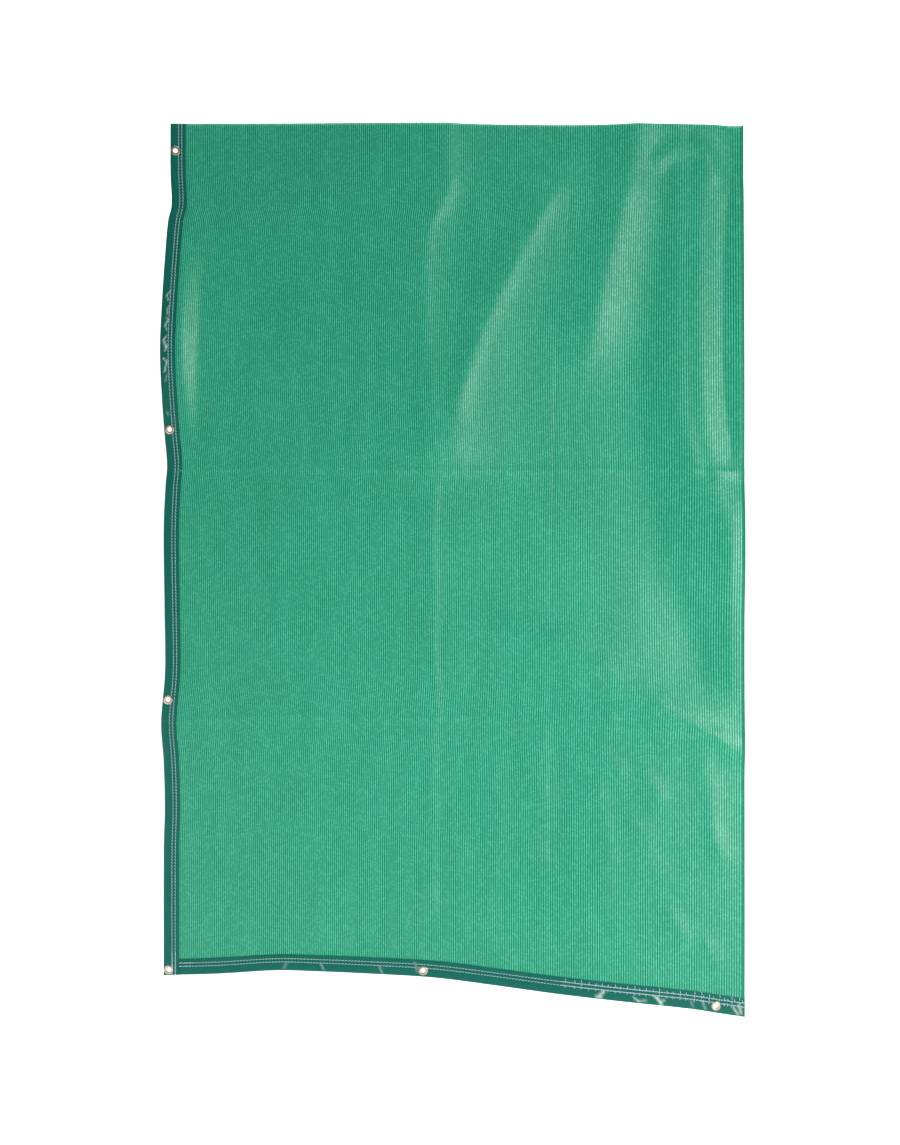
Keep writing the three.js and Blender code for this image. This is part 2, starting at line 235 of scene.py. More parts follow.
def new_mesh_object(name, points, faces, smooth=True):
    mesh = bpy.data.meshes.new(name)
    mesh.from_pydata([tuple(p) for p in points], [], [tuple(int(i) for i in f) for f in faces])
    mesh.polygons.foreach_set("use_smooth", [smooth] * len(mesh.polygons))
    mesh.update()
    obj = bpy.data.objects.new(name, mesh)
    bpy.context.scene.collection.objects.link(obj)
    return obj


def store_point_uv(obj, name, values):
    """Writes a UV map from one pair of values for each point."""
    mesh = obj.data
    layer = mesh.uv_layers.new(name=name)
    loops = np.empty(len(mesh.loops), int)
    mesh.loops.foreach_get("vertex_index", loops)
    layer.data.foreach_set("uv", np.asarray(values, float)[loops].ravel())


def store_point_value(obj, name, values):
    attribute = obj.data.attributes.new(name, "FLOAT", "POINT")
    attribute.data.foreach_set("value", np.asarray(values, float))


def plain_mesh(obj, name):
    """The evaluated object as a plain mesh object, in place of the first one."""
    graph = bpy.context.evaluated_depsgraph_get()
    mesh = bpy.data.meshes.new_from_object(obj.evaluated_get(graph), depsgraph=graph)
    bpy.data.objects.remove(obj, do_unlink=True)
    mesh.name = name
    done = bpy.data.objects.new(name, mesh)
    bpy.context.scene.collection.objects.link(done)
    return done


# Materials


class Nodes:
    """A short way to add and join the nodes of one tree."""

    def __init__(self, tree):
        self.tree = tree
        self.nodes = tree.nodes

    def add(self, kind, **settings):
        node = self.nodes.new(kind)
        for key, value in settings.items():
            setattr(node, key, value)
        return node

    def join(self, source, target):
        self.tree.links.new(source, target)

    def fill(self, socket, value):
        """Gives an input a plain value or joins another node's output to it."""
        if isinstance(value, bpy.types.NodeSocket):
            self.join(value, socket)
        else:
            socket.default_value = value

    def put(self, kind, inputs, **settings):
        """Adds a node, fills the named or numbered inputs and gives back its outputs."""
        node = self.add(kind, **settings)
        for key, value in inputs.items():
            self.fill(node.inputs[key], value)
        return node.outputs

    def math(self, operation, *values):
        return self.put("ShaderNodeMath", dict(enumerate(values)), operation=operation)[0]

    def mix(self, factor, first, second):
        """Mixes two colours, each given as red, green and blue or as another node's output."""
        first, second = [(*value, 1) if isinstance(value, tuple) else value for value in (first, second)]
        return self.put("ShaderNodeMix", {0: factor, 6: first, 7: second}, data_type="RGBA")[2]

    def scaled(self, vector, factors):
        return self.put("ShaderNodeVectorMath", {0: vector, 1: factors}, operation="MULTIPLY")[0]

    def attribute(self, name, data_type):
        """A named attribute of the geometry."""
        inputs = {"Name": name}
        return self.put("GeometryNodeInputNamedAttribute", inputs, data_type=data_type)[0]

    def noise(self, vector, scale, detail=2.0, rough=0.5):
        inputs = {"Scale": scale, "Detail": detail, "Roughness": rough, "Vector": vector}
        return self.put("ShaderNodeTexNoise", inputs)["Fac"]


def new_material(name):
    material = bpy.data.materials.new(name)
    material.use_nodes = True
    tree = material.node_tree
    tree.nodes.clear()
    nodes = Nodes(tree)
    shader = nodes.add("ShaderNodeBsdfPrincipled")
    output = nodes.add("ShaderNodeOutputMaterial")
    nodes.join(shader.outputs[0], output.inputs[0])
    return material, nodes, shader


def bump_into(nodes, shader, height, distance, strength=1.0):
    bump = nodes.put("ShaderNodeBump", {"Distance": distance, "Strength": strength, "Height": height})
    nodes.join(bump[0], shader.inputs["Normal"])


LOOP_TONE, WAVE_TONE, GRAIN_TONE, PATCH_TONE, STREAK_TONE = 0.4, 0.2, 0.4, 0.3, 1.1
TONE_SHIFT = 0.75
STREAK_SCALE = (34, 34, 5)
# Painted highlight: random loops past the first value get a lighter colour mixed in at the second share,
# standing for the sheen of single loops.
PAINTED_HIGHLIGHT_FROM = 0.72
PAINTED_HIGHLIGHT_SHARE = 0.16
KNIT_BUMP = 0.00007


def knit_material(name, base, light, painted_highlight, gloss, stripe):
    """Knitted netting. Its UV map counts ribs across and courses down, so each loop has a cell.

    Stripe is how much lighter or darker the colour is on the ribs' lines than between them.
    """
    material, nodes, shader = new_material(name)
    uv = nodes.add("ShaderNodeUVMap", uv_map="knit").outputs[0]
    place = nodes.add("ShaderNodeTexCoord").outputs["Object"]
    cell = nodes.put("ShaderNodeVectorMath", {0: uv}, operation="FLOOR")[0]
    loop = nodes.put("ShaderNodeTexWhiteNoise", {"Vector": cell}, noise_dimensions="2D")["Value"]
    rib, course, _ = nodes.put("ShaderNodeSeparateXYZ", {0: uv})
    wave = nodes.math("SINE", nodes.math("MULTIPLY", course, 2 * math.pi))
    wave = nodes.math("MULTIPLY_ADD", wave, 0.5, 0.5)
    grain = nodes.noise(place, 560, 2.0)
    patch = nodes.noise(place, 7, 3.0)
    streak = nodes.noise(nodes.scaled(place, STREAK_SCALE), 1.0, 3.0)
    rise = nodes.math("COSINE", nodes.math("MULTIPLY", rib, 2 * math.pi))
    tone = nodes.math("MULTIPLY", loop, LOOP_TONE)
    for source, share in (
        (wave, WAVE_TONE), (grain, GRAIN_TONE), (patch, PATCH_TONE), (streak, STREAK_TONE), (rise, stripe)
    ):
        tone = nodes.math("ADD", tone, nodes.math("MULTIPLY", source, share))
    tone = nodes.math("SUBTRACT", tone, TONE_SHIFT)
    colour = nodes.mix(tone, base, light)
    # Painted highlight: a lighter colour mixed into random loops, standing for the sheen they catch.
    painted_highlight_mask = nodes.math("GREATER_THAN", loop, PAINTED_HIGHLIGHT_FROM)
    colour = nodes.mix(nodes.math("MULTIPLY", painted_highlight_mask, PAINTED_HIGHLIGHT_SHARE), colour, painted_highlight)
    nodes.join(colour, shader.inputs["Base Color"])
    nodes.join(nodes.math("MULTIPLY_ADD", loop, -0.08, 0.42), shader.inputs["Roughness"])
    shader.inputs["Specular IOR Level"].default_value = gloss
    bump_into(nodes, shader, nodes.math("ADD", wave, grain), KNIT_BUMP)
    return material


def tape_material(name, base, crease_whitening_and_highlight):
    """Coated tape, semi-gloss, with paler creases."""
    material, nodes, shader = new_material(name)
    place = nodes.add("ShaderNodeTexCoord").outputs["Object"]
    wear = nodes.add("ShaderNodeAttribute", attribute_name="wear").outputs["Fac"]
    cloudy = nodes.noise(place, 9, 3.0)
    fine = nodes.noise(place, 700, 2.0)
    scuff = nodes.noise(place, 160, 4.0, 0.7)
    colour = nodes.mix(nodes.math("MULTIPLY", cloudy, 0.5), base, tuple(v * 1.3 for v in base))
    # The creases are painted paler: partly stress whitening, partly painted highlight.
    crease_whitening_and_highlight_at = nodes.math("MULTIPLY", wear, nodes.math("MULTIPLY_ADD", scuff, 1.2, 0.2))
    colour = nodes.mix(crease_whitening_and_highlight_at, colour, crease_whitening_and_highlight)
    nodes.join(colour, shader.inputs["Base Color"])
    nodes.join(nodes.math("MULTIPLY_ADD", scuff, 0.2, 0.28), shader.inputs["Roughness"])
    shader.inputs["Specular IOR Level"].default_value = 0.22
    height = nodes.math("ADD", nodes.math("MULTIPLY", fine, 0.3), scuff)
    bump_into(nodes, shader, height, 0.00025)
    return material


def metal_material(name, base, edge):
    """Plated metal with faint turning marks and a warmer tint where the plating is thin."""
    material, nodes, shader = new_material(name)
    place = nodes.add("ShaderNodeTexCoord").outputs["Object"]
    cloudy = nodes.noise(place, 320, 3.0)
    fine = nodes.noise(place, 2400, 2.0)
    nodes.join(nodes.mix(cloudy, base, edge), shader.inputs["Base Color"])
    nodes.join(nodes.math("MULTIPLY_ADD", fine, 0.2, 0.16), shader.inputs["Roughness"])
    shader.inputs["Metallic"].default_value = 1.0
    bump_into(nodes, shader, fine, 0.00008)
    return material


def thread_material(name, base, shade):
    """Twisted sewing thread, paler on its plies."""
    material, nodes, shader = new_material(name)
    place = nodes.add("ShaderNodeTexCoord").outputs["Object"]
    fibre = nodes.noise(place, 1500, 3.0)
    nodes.join(nodes.mix(fibre, shade, base), shader.inputs["Base Color"])
    shader.inputs["Roughness"].default_value = 0.55
    shader.inputs["Sheen Weight"].default_value = 0.2
    bump_into(nodes, shader, fibre, 0.00015)
    return material


def stage_material(name, colour):
    material, nodes, shader = new_material(name)
    place = nodes.add("ShaderNodeTexCoord").outputs["Object"]
    tone = nodes.noise(place, 0.8, 2.0)
    nodes.join(nodes.mix(tone, colour, tuple(v * 0.98 for v in colour)), shader.inputs["Base Color"])
    shader.inputs["Roughness"].default_value = 0.9
    return material


# Geometry Nodes


def new_tree(name, inputs):
    """A Geometry Nodes tree with the named inputs after its geometry, given back with its two ends."""
    tree = bpy.data.node_groups.new(name, "GeometryNodeTree")
    tree.interface.new_socket("Geometry", in_out="INPUT", socket_type="NodeSocketGeometry")
    for label, kind in inputs:
        tree.interface.new_socket(label, in_out="INPUT", socket_type=kind)
    tree.interface.new_socket("Geometry", in_out="OUTPUT", socket_type="NodeSocketGeometry")
    nodes = Nodes(tree)
    return tree, nodes, nodes.put("NodeGroupInput", {}), nodes.add("NodeGroupOutput").inputs[0]


def run_tree(obj, tree, values, name):
    """Runs a tree on an object and gives back a plain mesh object."""
    modifier = obj.modifiers.new(tree.name, "NODES")
    modifier.node_group = tree
    for item in tree.interface.items_tree:
        if item.item_type == "SOCKET" and item.in_out == "INPUT" and item.name in values:
            modifier[item.identifier] = values[item.name]
    return plain_mesh(obj, name)


def finish_tree(nodes, source, material_socket, target):
    """Ends a tree: instances realized, material set."""
    whole = nodes.put("GeometryNodeRealizeInstances", {0: source})[0]
    nodes.join(nodes.put("GeometryNodeSetMaterial", {0: whole, "Material": material_socket})[0], target)


def rib_tree():
    """Lays copies of a strip side by side over the cloth, closer together at the left."""
    tree, nodes, given, result = new_tree("Ribs over the cloth", [
        ("Cloth", "NodeSocketObject"), ("Rib Count", "NodeSocketInt"), ("First Rib", "NodeSocketInt"),
        ("Pitch At Left", "NodeSocketFloat"), ("Growth Per Rib", "NodeSocketFloat"),
        ("Net Width", "NodeSocketFloat"), ("Material", "NodeSocketMaterial"),
    ])
    points = nodes.put("GeometryNodeMeshLine", {"Count": given["Rib Count"], "Offset": (0, 0, 0)})[0]
    index = nodes.put("GeometryNodeInputIndex", {})[0]
    number = nodes.math("ADD", index, given["First Rib"])
    points = nodes.put(
        "GeometryNodeStoreNamedAttribute", {0: points, "Name": "rib", "Value": number},
        data_type="FLOAT", domain="POINT",
    )[0]
    copies = nodes.put("GeometryNodeInstanceOnPoints", {"Points": points, "Instance": given["Geometry"]})[0]
    copies = nodes.put("GeometryNodeRealizeInstances", {0: copies})[0]

    rib = nodes.attribute("rib", "FLOAT")
    next_uv = nodes.put("ShaderNodeCombineXYZ", {0: rib})[0]
    strip_uv = nodes.attribute("knit", "FLOAT_VECTOR")
    cells = nodes.put("ShaderNodeVectorMath", {0: strip_uv, 1: next_uv}, operation="ADD")[0]
    copies = nodes.put(
        "GeometryNodeStoreNamedAttribute", {0: copies, "Name": "knit", "Value": cells},
        data_type="FLOAT2", domain="CORNER",
    )[0]
    position = nodes.put("GeometryNodeInputPosition", {})[0]
    aside, along, height = nodes.put("ShaderNodeSeparateXYZ", {0: position})
    middle = nodes.math("ADD", rib, 0.5)
    spread = nodes.math("EXPONENT", nodes.math("MULTIPLY", middle, given["Growth Per Rib"]))
    scale = nodes.math("DIVIDE", given["Pitch At Left"], given["Growth Per Rib"])
    centre = nodes.math("MULTIPLY", scale, nodes.math("SUBTRACT", spread, 1.0))
    pitch = nodes.math("MULTIPLY", given["Pitch At Left"], spread)
    across = nodes.math("ADD", centre, nodes.math("MULTIPLY", aside, pitch))
    share = nodes.math("DIVIDE", across, given["Net Width"])
    spot = nodes.put("ShaderNodeCombineXYZ", {0: share, 1: along})[0]

    cloth = nodes.put("GeometryNodeObjectInfo", {"Object": given["Cloth"]})["Geometry"]
    sampled = []
    for field in ("GeometryNodeInputPosition", "GeometryNodeInputNormal"):
        inputs = {
            "Mesh": cloth, "Value": nodes.put(field, {})[0],
            "UV Map": nodes.attribute("place", "FLOAT_VECTOR"), "Sample UV": spot,
        }
        sample = nodes.put("GeometryNodeSampleUVSurface", inputs, data_type="FLOAT_VECTOR")
        sampled.append(sample["Value"])
    raised = nodes.put("ShaderNodeVectorMath", {0: sampled[1], "Scale": height}, operation="SCALE")[0]
    there = nodes.put("ShaderNodeVectorMath", {0: sampled[0], 1: raised}, operation="ADD")[0]
    moved = nodes.put("GeometryNodeSetPosition", {"Geometry": copies, "Position": there})[0]
    finish_tree(nodes, moved, given["Material"], result)
    return tree


def stitch_tree():
    """Sets one stitch after another along each seam line, lying on the side that Facing gives."""
    tree, nodes, given, result = new_tree("Stitches along the seams", [
        ("Stitch", "NodeSocketObject"), ("Stitch Length", "NodeSocketFloat"),
        ("Facing", "NodeSocketVector"), ("Lean", "NodeSocketFloat"), ("Uneven", "NodeSocketFloat"),
        ("Seed", "NodeSocketInt"), ("Material", "NodeSocketMaterial"),
    ])
    curve = nodes.put("GeometryNodeMeshToCurve", {0: given["Geometry"]})[0]
    spaced = nodes.put(
        "GeometryNodeResampleCurve", {"Curve": curve, "Length": given["Stitch Length"]}, mode="LENGTH"
    )[0]
    tangent = nodes.put("GeometryNodeInputTangent", {})[0]
    along = nodes.put("FunctionNodeAlignRotationToVector", {"Vector": tangent}, axis="X")[0]
    facing = nodes.put(
        "FunctionNodeAlignRotationToVector", {"Rotation": along, "Vector": given["Facing"]},
        axis="Z", pivot_axis="X",
    )[0]
    limits = {2: -1.0, 3: 1.0, "Seed": given["Seed"]}
    chance = nodes.put("FunctionNodeRandomValue", limits, data_type="FLOAT")[1]
    uneven = nodes.math("MULTIPLY", chance, given["Uneven"])
    turn = nodes.put("ShaderNodeCombineXYZ", {2: nodes.math("ADD", given["Lean"], uneven)})[0]
    turned = nodes.put(
        "FunctionNodeRotateRotation", {"Rotation": facing, "Rotate By": turn}, rotation_space="LOCAL"
    )[0]
    stitch = nodes.put("GeometryNodeObjectInfo", {"Object": given["Stitch"]})["Geometry"]
    inputs = {"Points": spaced, "Instance": stitch, "Rotation": turned}
    copies = nodes.put("GeometryNodeInstanceOnPoints", inputs)[0]
    finish_tree(nodes, copies, given["Material"], result)
    return tree


# Sizes and colours that a user would change


def plain_value(name, description, default):
    return bpy.props.FloatProperty(name=name, description=description, default=default)


def length_value(name, description, default):
    return bpy.props.FloatProperty(name=name, description=description, default=default, unit="LENGTH")


def colour_value(name, description, default):
    return bpy.props.FloatVectorProperty(
        name=name, description=description, default=default, subtype="COLOR"
    )


class ScreenNetCloth(bpy.types.PropertyGroup):
    """Sizes and colours of the knitted netting."""

    thick: length_value("Thickness", "Thickness of the netting", 0.0012)
    pitch_at_left: length_value("Rib pitch", "Distance between ribs at the left edge", 0.003409)
    growth: plain_value(
        "Pitch growth", "Share by which each rib stands further off than the last", 0.001145
    )
    rib_share: plain_value("Rib width", "Width of a rib as a share of the pitch", 0.52)
    rib_rise: length_value("Rib height", "How far a rib stands off the cloth", 0.0005)
    course: length_value("Course", "Length of one loop of the knit", 0.0031)
    ground: colour_value("Ground colour", "Colour between the ribs", (0.001, 0.235, 0.122))
    ground_light: colour_value(
        "Light ground colour", "Paler threads between the ribs", (0.002, 0.29, 0.158)
    )
    rib: colour_value("Rib colour", "Colour of the ribs", (0.022, 0.48, 0.28))
    rib_light: colour_value("Light rib colour", "Paler threads of the ribs", (0.055, 0.62, 0.395))
    # Painted highlight: the colour painted on random loops of the ribs, standing for their sheen.
    painted_glint: colour_value("Painted glints", "Colour of the loops that catch the light", (0.34, 0.76, 0.60))


class ScreenNetTape(bpy.types.PropertyGroup):
    """Sizes and colours of the binding tape and its sewing."""

    layer: length_value("Layer", "Thickness of one layer of tape", 0.0007)
    outer_row: length_value("Outer row", "Distance of the outer stitch row from the fold", 0.0155)
    inner_row: length_value("Inner row", "Distance of the inner stitch row from the fold", 0.0214)
    stitch: length_value("Stitch", "Length of one stitch", 0.0058)
    thread: length_value("Thread", "Thickness of the sewing thread", 0.0014)
    colour: colour_value("Tape colour", "Colour of the coated tape", (0.001, 0.135, 0.098))
    # Partly stress whitening, partly painted highlight: the pale colour laid on the tape's creases.
    crease_whitening_and_highlight: colour_value("Crease whitening and highlight colour", "Colour of pressed creases in the tape", (0.62, 0.76, 0.70))
    thread_colour: colour_value("Thread colour", "Colour of the sewing thread", (0.78, 0.96, 0.98))


class ScreenNetEyelet(bpy.types.PropertyGroup):
    """Sizes and colours of the eyelets."""

    bore: length_value("Bore", "Radius of the bore", 0.004)
    face: length_value("Face", "Radius of the rolled face", 0.0085)
    washer: length_value("Washer", "Radius of the washer", 0.0082)
    colour: colour_value("Plating", "Colour of the plating", (0.70, 0.60, 0.53))
    warm: colour_value("Thin plating", "Colour where the plating is thin", (0.63, 0.44, 0.33))


class ScreenNetStage(bpy.types.PropertyGroup):
    """Sizes of the stage and the camera."""

    pixel: length_value("Pixel", "Size of one picture point on the net", 0.001827)
    distance: length_value("Camera distance", "From the camera to the net", 3.2)
    floor_drop: length_value("Floor", "Height of the floor under the net's top edge", 2.0)
    backdrop: length_value("Backdrop", "Distance of the backdrop behind the net", 2.6)
    pale: colour_value("Stage colour", "Colour of floor and backdrop", (0.93, 0.93, 0.93))


# Netting

CLOTH_STEP_ACROSS = 6.2
CLOTH_STEP_DOWN = 8.6
FINE_STEP = 3.0
FINE_REACH = 12.0


def lines_with_detail(low, high, step, places):
    """Grid lines at even steps, with closer ones around the given places."""
    lines = set(np.linspace(low, high, int(round((high - low) / step)) + 1).round(3))
    for place in places:
        close = np.arange(place - FINE_REACH, place + FINE_REACH + 0.1, FINE_STEP)
        near = [value for value in lines if place - FINE_REACH - 1 < value < place + FINE_REACH + 1]
        lines -= {value for value in near if value not in (low, high)}
        lines |= {round(float(value), 3) for value in close if low < value < high}
    return np.array(sorted(lines))


def cloth_lines():
    """The grid lines of the netting: finer along the packing creases."""
    left = TAPE_WIDTH + 1
    right = NET_WIDTH - HEM_WIDTH
    across = lines_with_detail(left, right - HEM_SLOPE, CLOTH_STEP_ACROSS, [709, 495])
    across = np.concatenate([[NET_EDGE_INSET], across, [right, NET_WIDTH - 8, NET_WIDTH]])
    low = NET_HEIGHT - TAPE_WIDTH - 1
    down = lines_with_detail(HEM_WIDTH + HEM_SLOPE, low, CLOTH_STEP_DOWN, [611, 634, 1069, 1092])
    down = np.concatenate([[0, 8, HEM_WIDTH], down, [NET_HEIGHT - NET_EDGE_INSET]])
    return across, down


def cloth_surface(across, down, behind):
    a, d = np.meshgrid(across, down)
    points = cloth_point(a, d, behind)
    points[..., 1] -= crease_at(a, d) * MM
    return points.reshape(-1, 3), a.ravel(), d.ravel()


def rib_number(sizes, across):
    """How many ribs lie left of a place, which the knit's UV map counts."""
    return np.log(1 + sizes.growth * across * MM / sizes.pitch_at_left) / sizes.growth


def knit_uv(sizes, across, down):
    return np.stack([rib_number(sizes, across), down * MM / sizes.course], axis=1)


def make_guide():
    """The cloth's middle surface, which the ribs follow. It is removed again."""
    across, down = cloth_lines()
    points, a, d = cloth_surface(across, down, 0)
    guide = new_mesh_object("cloth_guide", points, grid_faces(len(down), len(across)))
    store_point_uv(guide, "place", np.stack([a / NET_WIDTH, 1 - d / NET_HEIGHT], axis=1))
    return guide


def make_panel(sizes, material):
    """The netting itself: a closed sheet with its hem turned to the back."""
    across, down = cloth_lines()
    half = sizes.thick / MM / 2
    a, d = np.meshgrid(across, down)
    hem_start = TAPE_WIDTH + 1.01
    in_hem = (a > hem_start) & (d < NET_HEIGHT - hem_start)
    in_hem &= (d <= HEM_WIDTH) | (a >= NET_WIDTH - HEM_WIDTH)
    edge = (d == 0) | (a == NET_WIDTH)
    behind = half + np.where(in_hem, HEM_THICK * np.where(edge, 0.35, 1.0), 0)
    front, flat_a, flat_d = cloth_surface(across, down, -half)
    back, _, _ = cloth_surface(across, down, behind)
    rows, columns = len(down), len(across)
    count = rows * columns
    faces = [grid_faces(rows, columns), grid_faces(rows, columns, count, flip=True)]
    rim = np.concatenate([
        np.arange(columns),
        np.arange(1, rows) * columns + columns - 1,
        (rows - 1) * columns + np.arange(columns - 2, -1, -1),
        np.arange(rows - 2, 0, -1) * columns,
    ])
    following = np.roll(rim, -1)
    faces.append(np.stack([rim, following, following + count, rim + count], axis=1))
    panel = new_mesh_object("net_panel", np.concatenate([front, back]), np.concatenate(faces))
    store_point_uv(panel, "knit", np.tile(knit_uv(sizes, flat_a, flat_d), (2, 1)))
    panel.data.materials.append(material)
    return panel


def make_ribs(sizes, guide, material, first, count, name):
    """One half of the ribs, laid over the front of the netting."""
    _, down = cloth_lines()
    rows = down[down <= NET_HEIGHT - NET_EDGE_INSET - 0.1]
    half = sizes.thick / 2
    low, high = half - 0.0002, half + sizes.rib_rise
    sides = [[(-0.5, low), (-0.34, high)], [(-0.34, high), (0.34, high)], [(0.34, high), (0.5, low)]]
    points, faces = [], []
    for side in sides:
        start = len(points)
        for value in rows:
            for aside, height in side:
                points.append((aside * sizes.rib_share, 1 - value / NET_HEIGHT, height))
        faces.append(grid_faces(len(rows), 2, start))
    strip = new_mesh_object("rib_strip", points, np.concatenate(faces))
    uv = [(0.5 + p[0], (1 - p[1]) * NET_HEIGHT * MM / sizes.course) for p in points]
    store_point_uv(strip, "knit", uv)
    values = {
        "Cloth": guide, "Rib Count": count, "First Rib": first, "Pitch At Left": sizes.pitch_at_left,
        "Growth Per Rib": sizes.growth, "Net Width": NET_WIDTH * MM, "Material": material,
    }
    return run_tree(strip, rib_tree(), values, name)


class SCREENNET_OT_netting(bpy.types.Operator):
    """Make the knitted netting, its hem and its ribs."""

    bl_idname = "screennet.netting"
    bl_label = "Netting"

    def execute(self, context):
        sizes = context.scene.screennet_cloth
        # Both knit materials paint random loops lighter as a painted highlight: the rib colour on the ground,
        # the glint colour on the ribs.
        ground = knit_material(
            "netting_ground", tuple(sizes.ground), tuple(sizes.ground_light), tuple(sizes.rib), 0.36, -0.5
        )
        raised = knit_material(
            "netting_rib", tuple(sizes.rib), tuple(sizes.rib_light), tuple(sizes.painted_glint), 0.95, 0
        )
        panel = make_panel(sizes, ground)
        guide = make_guide()
        first = int(math.ceil(rib_number(sizes, TAPE_WIDTH - 6)))
        last = int(math.floor(rib_number(sizes, NET_WIDTH) - 0.25))
        middle = (first + last) // 2
        ribs = [
            make_ribs(sizes, guide, raised, first, middle - first, "net_ribs_left"),
            make_ribs(sizes, guide, raised, middle, last - middle, "net_ribs_right"),
        ]
        bpy.data.objects.remove(guide, do_unlink=True)
        for piece in (panel, *ribs):
            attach(piece, "root")
        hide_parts("net")
        return {"FINISHED"}


# Tape

# Creases pressed into the tape: (rise, reach, paleness, [(along, inset), ...]). Rise is how far a crease
# stands out, reach its half width and paleness how pale it is painted, partly stress whitening and
# partly painted highlight.
LEFT_TAPE_CREASES = [
    (0.8, 1.1, 0.9, [(310, 14), (316, 9)]),
    (0.8, 1.2, 1.0, [(316, 9), (326, 12)]),
    (0.6, 1.0, 0.7, [(335, 15), (343, 11)]),
    (0.9, 1.2, 1.0, [(343, 11), (352, 13)]),
    (0.8, 1.0, 0.9, [(356, 10), (362, 14)]),
    (0.9, 1.3, 1.1, [(362, 14), (372, 9)]),
    (0.8, 1.1, 0.9, [(372, 9), (381, 13)]),
    (0.9, 1.2, 1.0, [(391, 12), (399, 7)]),
    (1.0, 1.7, 1.3, [(399, 7), (412, 12)]),
    (0.8, 1.2, 0.9, [(408, 14), (418, 10)]),
    (0.9, 1.2, 1.1, [(431, 6), (437, 13)]),
    (0.9, 1.4, 1.1, [(437, 13), (456, 8)]),
    (0.7, 1.2, 0.6, [(462, 12), (474, 8)]),
    (0.6, 1.2, 0.6, [(528, 8), (534, 11)]),
    (-0.7, 2.5, 0.0, [(634, 0), (636, 29)]),
    (-0.5, 2.5, 0.0, [(176, 0), (180, 29)]),
    (-0.5, 3.0, 0.0, [(1094, 0), (1098, 29)]),
]
BOTTOM_TAPE_CREASES = [
    (0.7, 1.8, 0.4, [(219, 4), (225, 14)]),
    (0.8, 1.8, 0.45, [(287, 15), (292, 4)]),
    (0.8, 1.8, 0.45, [(394, 14), (399, 2)]),
    (0.8, 2.0, 0.4, [(459, 24), (463, 8)]),
    (1.0, 1.6, 0.8, [(789, 5), (801, 3)]),
    (1.4, 2.6, 1.1, [(793, 4), (803, 13)]),
    (1.0, 2.0, 0.6, [(858, 9), (866, 4)]),
    (0.9, 2.2, 0.5, [(866, 4), (880, 6)]),
    (1.2, 1.8, 0.9, [(896, 14), (903, 9)]),
    (1.6, 2.6, 1.2, [(901, 12), (908, 3)]),
    (1.0, 1.8, 0.8, [(906, 6), (914, 10)]),
    (0.8, 2.0, 0.35, [(962, 12), (966, 5)]),
    (0.9, 2.0, 0.5, [(984, 13), (988, 4)]),
    (1.2, 2.4, 0.8, [(1040, 12), (1048, 3)]),
    (1.3, 2.6, 0.9, [(1050, 17), (1054, 6)]),
]

TAPE_STEP = 2.9
WHITENING_AND_HIGHLIGHT_SHARE = 0.9
ROW_GROOVE = 0.35
ROW_GROOVE_REACH = 0.9
PUFF = 0.3


def tape_creases(rows, along, inset):
    """How far the tape's creases stand out, and how pale they are."""
    lines = [(rise, reach, ends) for rise, reach, wear, ends in rows]
    # Crease paleness: partly stress whitening, partly painted highlight.
    pale = [(wear, reach * WHITENING_AND_HIGHLIGHT_SHARE, ends) for rise, reach, wear, ends in rows if wear > 0]
    return ridge_at(lines, along, inset), np.clip(ridge_at(pale, along, inset), 0, 1)


def tape_outline(sizes):
    """The folded tape's section from its front inner edge round the fold to the back one."""
    layer = sizes.layer / MM
    rows = [sizes.outer_row / MM, sizes.inner_row / MM]
    flats = [TAPE_WIDTH, TAPE_WIDTH - 0.5, 26.5, 24.0, 22.8, 22.1, 21.4, 20.7, 20.0, 18.5, 17.0, 16.2,
             15.5, 14.8, 14.0, 12.0, 9.5, 7.0, 4.5, 2.8, 1.5]
    turns = [math.radians(angle) for angle in (30, 60, 90, 120, 150)]

    def face(inset, side):
        groove = sum(math.exp(-(((inset - row) / ROW_GROOVE_REACH) ** 2)) for row in rows)
        puffed = PUFF * math.sin(math.pi * min(max(inset / rows[0], 0), 1)) ** 2
        edge = 0.25 * min(max((inset - TAPE_WIDTH + 0.5) / 0.5, 0), 1)
        return side * (TAPE_FACE - ROW_GROOVE * groove + puffed - edge)

    outer = [(inset, face(inset, -1)) for inset in flats]
    outer += [(1.5 - 1.5 * math.sin(t), -1.5 * math.cos(t)) for t in turns]
    outer += [(inset, face(inset, 1)) for inset in reversed(flats)]
    inner_face = TAPE_FACE - layer
    inner = [(TAPE_WIDTH, inner_face), (20.0, inner_face), (10.0, inner_face), (2.2, 0.4), (2.2, -0.4),
             (10.0, -inner_face), (20.0, -inner_face), (TAPE_WIDTH, -inner_face)]
    return outer, inner


def make_tape(sizes, name, start, end, place, creases, material):
    """One tape, swept along its side. place gives the points from along, inset and behind."""
    outer, inner = tape_outline(sizes)
    section = np.array(outer + inner)
    stations = np.linspace(start, end, int(round((end - start) / TAPE_STEP)) + 1)
    along = np.repeat(stations[:, None], len(section), axis=1)
    inset = np.broadcast_to(section[:, 0], along.shape)
    behind = np.broadcast_to(section[:, 1], along.shape).copy()
    rise, pale = tape_creases(creases, along, inset)
    outside = np.arange(len(section)) < len(outer)
    side = np.sign(behind) * outside
    puckers = 0.12 * np.sin(2 * math.pi * along / (sizes.stitch / MM))
    near_rows = np.exp(-(((inset - (sizes.outer_row + sizes.inner_row) / MM / 2) / 5) ** 2))
    behind += side * puckers * near_rows - rise * outside
    points = place(along, inset, behind).reshape(-1, 3)
    columns = len(section)
    ring = np.arange(columns)
    faces = []
    for s in range(len(stations) - 1):
        at = s * columns
        after = (ring + 1) % columns
        faces.append(np.stack([at + ring, at + after, at + columns + after, at + columns + ring], axis=1))
    tape = new_mesh_object(name, points, np.concatenate(faces))
    cap_ends(tape, columns, len(stations), len(outer))
    # Painted paleness of the creases, partly stress whitening and partly painted highlight.
    store_point_value(tape, "wear", (pale * outside).ravel())
    tape.data.materials.append(material)
    return tape


